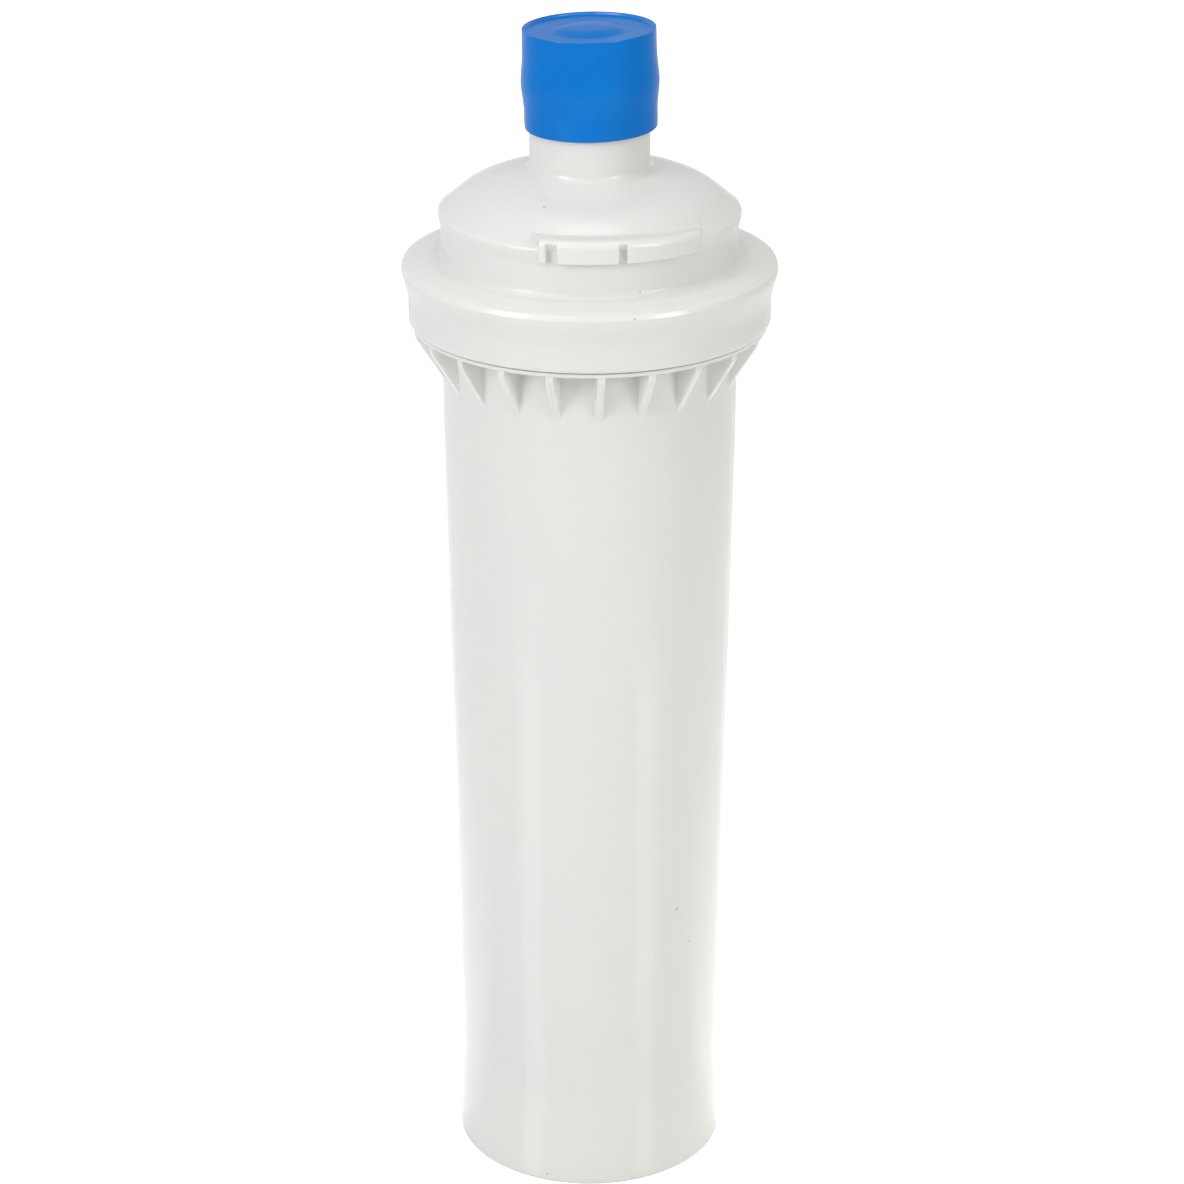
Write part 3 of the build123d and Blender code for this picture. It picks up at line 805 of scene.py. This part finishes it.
# ---------------------------------------------------------------------------
# sump shell: collar with gussets under it, long tapering body, standing skirt
# ---------------------------------------------------------------------------

BODY_R = 44.9
BODY_TOP = (BODY_R, 260.5)       # just below the gussets' tips
COLLAR_EDGE = (54.0, 279.5)
COLLAR_UNDER = 279.2
FILLET_R = 1.5                   # between collar and body

COLLAR = [(43.4, 296.4), (BODY_R, 296.4), (BODY_R, 286.0), (49.6, 286.0), (49.6, 293.8),
          (51.8, 293.8), (51.8, 280.35), (54.0, 280.35), COLLAR_EDGE]
COLLAR_RADII = [0.4, 0.4, 0.4, 0.3, 0.3, 0.15, 0.22]
# draft, the waist ring, the standing skirt
BODY = [BODY_TOP, (44.88, 252.0), (44.82, 243.0), (44.6, 228.0), (44.2, 201.0), (43.9, 174.0),
        (43.45, 146.0), (43.25, 118.0), (43.1, 89.0), (42.8, 60.0), (42.46, 45.0),
        (42.24, 34.5), (42.12, 30.4), (42.12, 28.7), (42.27, 27.4), (42.34, 25.0),
        (42.54, 19.0), (42.88, 10.0), (43.0, 3.0), (43.0, 0.7)]
FOOT_R = 0.7                     # rounding of the skirt's outer lower edge
FOOT = [(42.3, 0.0), (40.4, 0.0), (39.75, 26.0), (38.0, 21.6)]
UNDERSIDE = [FOOT[-1], (32.0, 14.4), (22.0, 8.8), (10.0, 5.75), (4.0, 5.1)]
GATE_MARK = [UNDERSIDE[-1], (3.4, 5.05), (3.1, 4.2), (0.0, 4.2)]
FLOOR_INSIDE = [(0.0, 8.2), (10.0, 8.95), (21.2, 11.9), (30.4, 17.1), (36.4, 24.4), (39.5, 33.0)]
MOUTH = [(41.9, 295.9), (41.9, 296.4), (43.3, 296.4)]

# the stretch that changes with the gussets: pieces and the points in each
GUSSET_ROWS = (3, 8, 12, 14, 8)
COLLAR_CORNER = [COLLAR_EDGE, (53.92, 279.28), (53.7, COLLAR_UNDER)]
BETWEEN_GUSSETS = [
    COLLAR_CORNER,
    [COLLAR_CORNER[-1], (51.8, COLLAR_UNDER)],
    [(51.8, COLLAR_UNDER), (47.6, COLLAR_UNDER)],
    [(47.6, COLLAR_UNDER), (BODY_R + FILLET_R, COLLAR_UNDER)]
    + arc((BODY_R + FILLET_R, COLLAR_UNDER - FILLET_R), FILLET_R, 90, 180, 7)
    + [(BODY_R, 266.0)],
    [(BODY_R, 266.0), BODY_TOP],
]
ON_GUSSET = [
    COLLAR_CORNER,
    [COLLAR_CORNER[-1], (53.72, 278.6), (53.7, 277.9)],
    [(53.7, 277.9), (53.62, 277.35), (53.35, 276.75), (50.2, 271.75)],
    [(50.2, 271.75), (46.0, 265.1)],
    [(46.0, 265.1), (45.35, 264.05), (44.98, 263.2), (BODY_R, 262.4), BODY_TOP],
]
GUSSET_COUNT = 22
GUSSET_START = 3.65              # degrees
GAP_COLUMNS = 7
MEAN_R = 46.0                    # turns a sideways offset into an angle away from the gussets
# half of a gusset: mm sideways from its centre plane, share of its shape
GUSSET_HALF = [(0.0, 1.0), (0.45, 1.0), (0.80, 1.0), (0.98, 0.985), (1.09, 0.95), (1.15, 0.86),
               (1.19, 0.55), (1.24, 0.25), (1.34, 0.09), (1.55, 0.025), (1.95, 0.0)]


def sump_body():
    """Outside from below the gussets down, and under the floor to the axis."""
    out = smooth_curve(BODY, (0, -1), (0, -1), 150)
    out += arc((FOOT[0][0], FOOT_R), FOOT_R, 0, -90, 6)
    out += rounded(FOOT, [0.5, 1.6], 6, 2.5)[1:]
    out += smooth_curve(UNDERSIDE, (-0.45, -1), (-1, -0.05), 30)
    return out + rounded(GATE_MARK, [0.3, 0.4], 3, 1.5)[1:]


def sump_inside():
    out = FLOOR_INSIDE[:1] + smooth_curve(FLOOR_INSIDE, (1, 0), (0.05, 1), 30)
    out += straight(FLOOR_INSIDE[-1], MOUTH[1], 24)[:-1]
    return out + rounded(MOUTH, [0.3], 3)


def sump_columns():
    between, on_gusset = ([p for piece, count in zip(pieces, GUSSET_ROWS)
                           for p in even(piece, count)]
                          for pieces in (BETWEEN_GUSSETS, ON_GUSSET))
    above = rounded(COLLAR, COLLAR_RADII, 4, 2.5)
    below = sump_body() + sump_inside()
    first, last = len(above), len(above) + len(between)

    def column(center, offset, share):
        """Profile at a sideways offset from a gusset's centre plane."""
        profile = above + blend(between, on_gusset, share) + below
        out = []
        for i, (r, z) in enumerate(profile):
            # near the gussets the offset is held in mm, so that they keep their thickness
            if first - 3 <= i < last + 3:
                turn = math.degrees(math.asin(offset / r))
            else:
                turn = math.degrees(offset / MEAN_R)
            out.append(at(r, center + turn, z))
        return out

    pitch = 360.0 / GUSSET_COUNT
    gusset_end = math.degrees(GUSSET_HALF[-1][0] / MEAN_R)
    gap = np.linspace(gusset_end, pitch - gusset_end, GAP_COLUMNS + 2)[1:-1]
    out = []
    for k in range(GUSSET_COUNT):
        center = GUSSET_START + pitch * k
        out += [column(center, -offset, share) for offset, share in reversed(GUSSET_HALF[1:])]
        out += [column(center, offset, share) for offset, share in GUSSET_HALF]
        out += [[at(r, center + turn, z) for r, z in above + between + below] for turn in gap]
    return out


sump = ring_of_columns("sump_shell_moulded", sump_columns(), SHELL_SHARP)
place(sump, MATERIALS["sump"], "cartridge", "sump_shell")


# ---------------------------------------------------------------------------
# sanitary cap
# ---------------------------------------------------------------------------

CAP_INNER_R = 18.85
CAP_SIDE = [(19.80, 340.3), (19.86, 342.0), (19.9, 346.0), (20.12, 348.6), (20.38, 351.0),
            (20.58, 353.4), (20.47, 355.8), (20.27, 358.0), (20.05, 360.5), (19.93, 363.5),
            (19.84, 369.2)]
CAP_LIP = [(CAP_INNER_R, 341.0), (CAP_INNER_R, 339.95), (19.75, 339.95), CAP_SIDE[0]]
CAP_RIM = [CAP_SIDE[-1], (19.84, 369.62), (18.85, 369.62), (18.50, 368.80), (12.0, 368.72)]
CAP_CROWN = [CAP_RIM[-1], (10.6, 368.86), (8.6, 369.38), (6.4, 369.76), (3.6, 369.9),
             (1.6, 369.93)]
CAP_PIP = [CAP_CROWN[-1], (1.35, 369.93), (1.2, 370.0), (0.0, 370.0)]
CAP_CEILING = [(0.0, 367.5), (CAP_INNER_R, 367.5), (CAP_INNER_R, 359.6)]
CAP_GROOVE = [CAP_CEILING[-1], (19.15, 356.4), (19.45, 353.4), (19.2, 350.4),
              (CAP_INNER_R, 347.4)]
CAP_TILT = -1.2                          # degrees about Y
CAP_PIVOT_Z = 353.3
CAP_SHIFT_X, CAP_SHIFT_Z = 0.10, -0.04


def cap_profile():
    out = rounded(CAP_LIP, [0.15, 0.3], 4)
    out += smooth_curve(CAP_SIDE, (0.03, 1), (-0.02, 1), 60)
    out += rounded(CAP_RIM, [0.28, 0.25, 0.45], 7, 1.4)[1:]
    out += smooth_curve(CAP_CROWN, (-1, 0), (-1, 0.0), 22)
    out += rounded(CAP_PIP, [0.05, 0.05], 3)[1:]
    out += CAP_CEILING[:1] + rounded(CAP_CEILING, [0.9], 5, 2.5)[1:]
    out += smooth_curve(CAP_GROOVE, (0, -1), (0, -1), 20)
    return out + straight(CAP_GROOVE[-1], CAP_LIP[0], 4)[:-1]


def bend_cap(points):
    """Soft cup: slightly out of round, leaning a touch on the seal."""
    x, y, z = points[..., 0], points[..., 1], points[..., 2]
    degrees = np.degrees(np.arctan2(x, -y))
    low = np.clip((352.0 - z) / 12.0, 0, 1)
    high = np.clip((z - 356.0) / 13.0, 0, 1)
    swell = 1 + 0.0022 * wobble(degrees, 5) * low + 0.0016 * wobble(degrees, 9) * high
    x, y = x * swell, y * swell
    cosine, sine = math.cos(math.radians(CAP_TILT)), math.sin(math.radians(CAP_TILT))
    rise = z - CAP_PIVOT_Z
    return np.stack([x * cosine + rise * sine + CAP_SHIFT_X, y,
                     CAP_PIVOT_Z + CAP_SHIFT_Z - x * sine + rise * cosine], -1)


cap = lathe("sanitary_cap_soft", cap_profile(), count=224, sharp=30, bend=bend_cap)
place(cap, MATERIALS["blue_cap"], "cap", "sanitary_cap")


# ---------------------------------------------------------------------------
# neck seals, with a fine mould line
# ---------------------------------------------------------------------------

# CAD node, inner radius, outer radius, height of the centre
NECK_SEALS = [("neck_oring_lower", 15.6, 18.75, 353.3), ("neck_oring_upper", 13.2, 16.0, 363.2)]
SEAL_SIDES = 40
MOULD_LINE = 0.012               # height of the line, as a share of the cord's radius


def seal_profile(inner_r, outer_r, center_z):
    center_r, cord_r = (inner_r + outer_r) / 2, (outer_r - inner_r) / 2
    out = []
    for i in range(SEAL_SIDES):
        t = 2 * math.pi * i / SEAL_SIDES
        ridge = MOULD_LINE * math.exp(-(math.sin(t) / 0.10) ** 2)
        r = cord_r * (1 + ridge) - MOULD_LINE * cord_r
        out.append((center_r + r * math.cos(t), center_z + r * math.sin(t)))
    return out


for node, *seal_sizes in NECK_SEALS:
    seal = lathe(node + "_moulded", seal_profile(*seal_sizes), count=200, sharp=60)
    place(seal, MATERIALS["seal_rubber"], "cartridge", node)


# ---------------------------------------------------------------------------
# check valve spring: a coil between the ends of the CAD spring
# ---------------------------------------------------------------------------

COIL_R, WIRE_R = 10.4, 0.45
COIL_TURNS, CLOSED_TURNS = 4.6, 0.55     # all turns, and the nearly flat part at each end
COIL_INSET = 0.5                         # from the CAD spring's ends to the wire's centre
STEPS_PER_TURN, WIRE_SIDES = 48, 10


def coil(name, bottom, top):
    total = int(COIL_TURNS * STEPS_PER_TURN)
    closed = int(CLOSED_TURNS * STEPS_PER_TURN)
    height = top - bottom
    verts, faces = [], []
    for i in range(total + 1):
        u = clamp((i - closed) / (total - 2 * closed))
        u = ease(u) * 0.35 + u * 0.65
        center_z = bottom + height * (0.03 + 0.94 * u) + 0.03 * height * (2 * i / total - 1)
        turn = 2 * math.pi * i / STEPS_PER_TURN
        for side in range(WIRE_SIDES):
            t = 2 * math.pi * side / WIRE_SIDES
            r = COIL_R + WIRE_R * math.cos(t)
            verts.append((r * math.cos(turn), r * math.sin(turn),
                          center_z + WIRE_R * math.sin(t)))
    for i in range(total):
        here, ahead = i * WIRE_SIDES, (i + 1) * WIRE_SIDES
        for side in range(WIRE_SIDES):
            beside = (side + 1) % WIRE_SIDES
            faces.append((here + side, ahead + side, ahead + beside, here + beside))
    faces.append(tuple(range(WIRE_SIDES)))
    faces.append(tuple(total * WIRE_SIDES + side for side in reversed(range(WIRE_SIDES))))
    return clean_object(name, verts, faces, sharp=50)


spring_low, spring_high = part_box("check_spring")
spring = coil("check_spring_coil", spring_low.z / MM + COIL_INSET,
              spring_high.z / MM - COIL_INSET)
place(spring, MATERIALS["spring_steel"], "cartridge", "check_spring")
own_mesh(spring)


# ---------------------------------------------------------------------------
# floor, surround, lights and camera (metres)
# ---------------------------------------------------------------------------

# by direction: front (the camera's side), back, left, right
WORLD_LOW = (0.38, 0.74, 0.48, 0.27)     # glow of the surround near the horizon
WORLD_MID = (0.42, 0.65, 0.41, 0.47)     # and higher up
FLOOR_GLOW = (0.04, 0.70, 0.06, 0.40)
FLOOR_FAR = (0.10, 0.40, 0.20, 0.60)     # how much darker the board's far parts are
WORLD_TOP = 0.44                         # glow of the surround overhead
FLOOR_NEAR_BACK = 0.55                   # added glow just behind the cartridge
FLOOR_GLOW_CAM = 0.60                    # added glow that only the camera sees
BACKDROP = 1.25                          # surround as the camera sees it
PLAIN_WHITE = (1, 1, 1)
# radiance of the soft boxes: low, middle and high third of each side box
SIDE_ELEVATIONS = (20, 35, 50)
SOFT_LEFT = (9.4, 3.5, 1.4)
SOFT_RIGHT = (8.2, 1.5, 0.3)
SOFT_FRONT_LEFT, SOFT_FRONT_RIGHT, SOFT_TOP = 2.45, 0.90, 1.9
LEFT_TINT, RIGHT_TINT = (0.99, 0.995, 1.0), (1.0, 0.985, 0.95)
SIDE_BOX = (0.48, 0.42)                  # width, height
LIGHT_DISTANCE = 1.6
LIGHT_TARGET = Vector((0, 0, 0.18))


def compass(math_node, x, y):
    """Soft weights for front, back, left and right that add up to one."""
    square = math_node("ADD", math_node("MULTIPLY", x, x), math_node("MULTIPLY", y, y))
    length = math_node("MAXIMUM", math_node("SQRT", square), 1e-4)
    east, north = math_node("DIVIDE", x, length), math_node("DIVIDE", y, length)
    toward = (math_node("MULTIPLY", north, -1.0), north, math_node("MULTIPLY", east, -1.0), east)
    return [math_node("POWER", math_node("MAXIMUM", v, 0.0), 2.0) for v in toward]


def weighted(math_node, weights, values):
    total = 0.0
    for weight, value in zip(weights, values):
        total = math_node("ADD", total, math_node("MULTIPLY", weight, value))
    return total


def floor_board():
    """Glossy white board. The camera sees it brighter than the cartridge does."""
    f = Surface("floor_board")
    camera_ray = f.new("LightPath").outputs["Is Camera Ray"]
    x, y, _ = f.split("XYZ", f.new("NewGeometry").outputs["Position"])
    around = compass(f.math, x, y)
    reach = f.math("SQRT", f.math("ADD", f.math("MULTIPLY", x, x), f.math("MULTIPLY", y, y)))
    fade = f.math("MULTIPLY", weighted(f.math, around, FLOOR_FAR),
                  f.remap(reach, span=(0.35, 1.0)))
    kept = f.math("SUBTRACT", 1.0, fade)
    glow = f.math("MULTIPLY", weighted(f.math, around, FLOOR_GLOW), kept)
    behind = f.math("MULTIPLY",
                    f.remap(reach, span=(0.10, 0.40), to=(1.0, 0.0), smoothed=True),
                    f.remap(y, span=(-0.02, 0.01), smoothed=True))
    glow = f.math("ADD", glow, f.math("MULTIPLY", behind, FLOOR_NEAR_BACK))
    glow = f.math("ADD", glow, f.math("MULTIPLY", camera_ray, FLOOR_GLOW_CAM))
    tone = f.mix(f.remap(f.noise(scale=3.0, detail=2), span=(0.3, 0.7)),
                 (0.80, 0.80, 0.80), (0.79, 0.79, 0.788))
    f.set(Base_Color=f.mix(kept, (0.0, 0.0, 0.0), tone),
          Roughness=f.remap(f.noise(scale=25), span=(0.3, 0.7), to=(0.07, 0.10)), IOR=1.8)
    emission = f.new("Emission", {"Color": PLAIN_WHITE, "Strength": glow})
    both = f.new("AddShader", {0: f.shader.outputs[0], 1: emission.outputs[0]})
    f.feed(f.output.inputs[0], both.outputs[0])
    return f.material


def build_floor():
    bm = bmesh.new()
    bmesh.ops.create_grid(bm, x_segments=1, y_segments=1, size=6.0)
    floor = add_object("floor", mesh_from("floor", bm))
    paint(floor, floor_board())


def build_world():
    """White surround, warmer to the right. The camera sees plain white instead."""
    world = bpy.data.worlds.new("studio")
    scene.world = world
    world.use_nodes = True
    w = Graph(world.node_tree)
    output = w.new("OutputWorld")
    surround = w.new("Background")
    x, y, z = w.split("XYZ", w.new("TexCoord").outputs["Generated"])

    def math_node(operation, a, b=0.0):
        return w.math(operation, a, b)

    around = compass(math_node, x, y)
    low = w.remap(z, span=(0.30, 0.60), to=(1.0, 0.0), smoothed=True)
    top = w.remap(z, span=(0.75, 0.92), smoothed=True)
    middle = math_node("SUBTRACT", math_node("SUBTRACT", 1.0, low), top)
    low_part = math_node("MULTIPLY", low, weighted(math_node, around, WORLD_LOW))
    middle_part = math_node("MULTIPLY", middle, weighted(math_node, around, WORLD_MID))
    upper = math_node("ADD", middle_part, math_node("MULTIPLY", top, WORLD_TOP))
    w.feed(surround.inputs["Strength"], math_node("ADD", low_part, upper))
    tint = w.mix(w.remap(x, span=(-1.0, 1.0), smoothed=True),
                 (0.985, 0.995, 1.0), (1.0, 0.985, 0.955))
    w.feed(surround.inputs["Color"], tint)
    camera_ray = w.new("LightPath").outputs["Is Camera Ray"]
    backdrop = w.new("Background", {"Color": PLAIN_WHITE, "Strength": BACKDROP})
    seen = w.new("MixShader", {0: camera_ray, 1: surround.outputs[0], 2: backdrop.outputs[0]})
    w.feed(output.inputs[0], seen.outputs[0])


def softbox(name, azimuth, elevation, radiance, size=SIDE_BOX, color=PLAIN_WHITE):
    """Azimuth from the camera's side towards +X, elevation above the floor, in degrees."""
    width, height = size
    light = bpy.data.lights.new(name, "AREA")
    light.shape = "RECTANGLE"
    light.size, light.size_y = width, height
    light.energy = radiance * math.pi * width * height
    light.color = color
    light.spread = math.pi
    a, e = math.radians(azimuth), math.radians(elevation)
    direction = Vector((math.sin(a) * math.cos(e), -math.cos(a) * math.cos(e), math.sin(e)))
    ob = add_object(name, light)
    location = LIGHT_TARGET + LIGHT_DISTANCE * direction
    ob.location = location
    ob.rotation_euler = (LIGHT_TARGET - location).to_track_quat("-Z", "Y").to_euler()
    ob.visible_camera = False


def build_lights():
    for elevation, left, right in zip(SIDE_ELEVATIONS, SOFT_LEFT, SOFT_RIGHT):
        softbox("soft_left_%d" % elevation, -50, elevation, left, color=LEFT_TINT)
        softbox("soft_right_%d" % elevation, 48, elevation, right, color=RIGHT_TINT)
    softbox("soft_front_left", azimuth=-22, elevation=35, radiance=SOFT_FRONT_LEFT)
    softbox("soft_front_right", azimuth=20, elevation=35, radiance=SOFT_FRONT_RIGHT)
    softbox("soft_top", azimuth=0, elevation=80, radiance=SOFT_TOP, size=(0.8, 0.8))


def build_camera():
    down_tilt = 22.74                    # degrees below the horizon
    camera = bpy.data.cameras.new("camera")
    camera.sensor_width = 36
    camera.lens = 104.424324
    camera.shift_x = 0.00185810811
    camera.shift_y = -0.000422297297
    camera.clip_start = 0.02
    ob = add_object("camera", camera)
    ob.location = (0, -0.99337, 0.60628)
    ob.rotation_euler = (math.radians(90 - down_tilt), 0, 0)
    scene.camera = ob


build_floor()
build_world()
build_lights()
build_camera()

scene.view_settings.view_transform = "Standard"
scene.view_settings.look = "None"
scene.view_settings.exposure = 0.0
scene.view_settings.gamma = 1.0
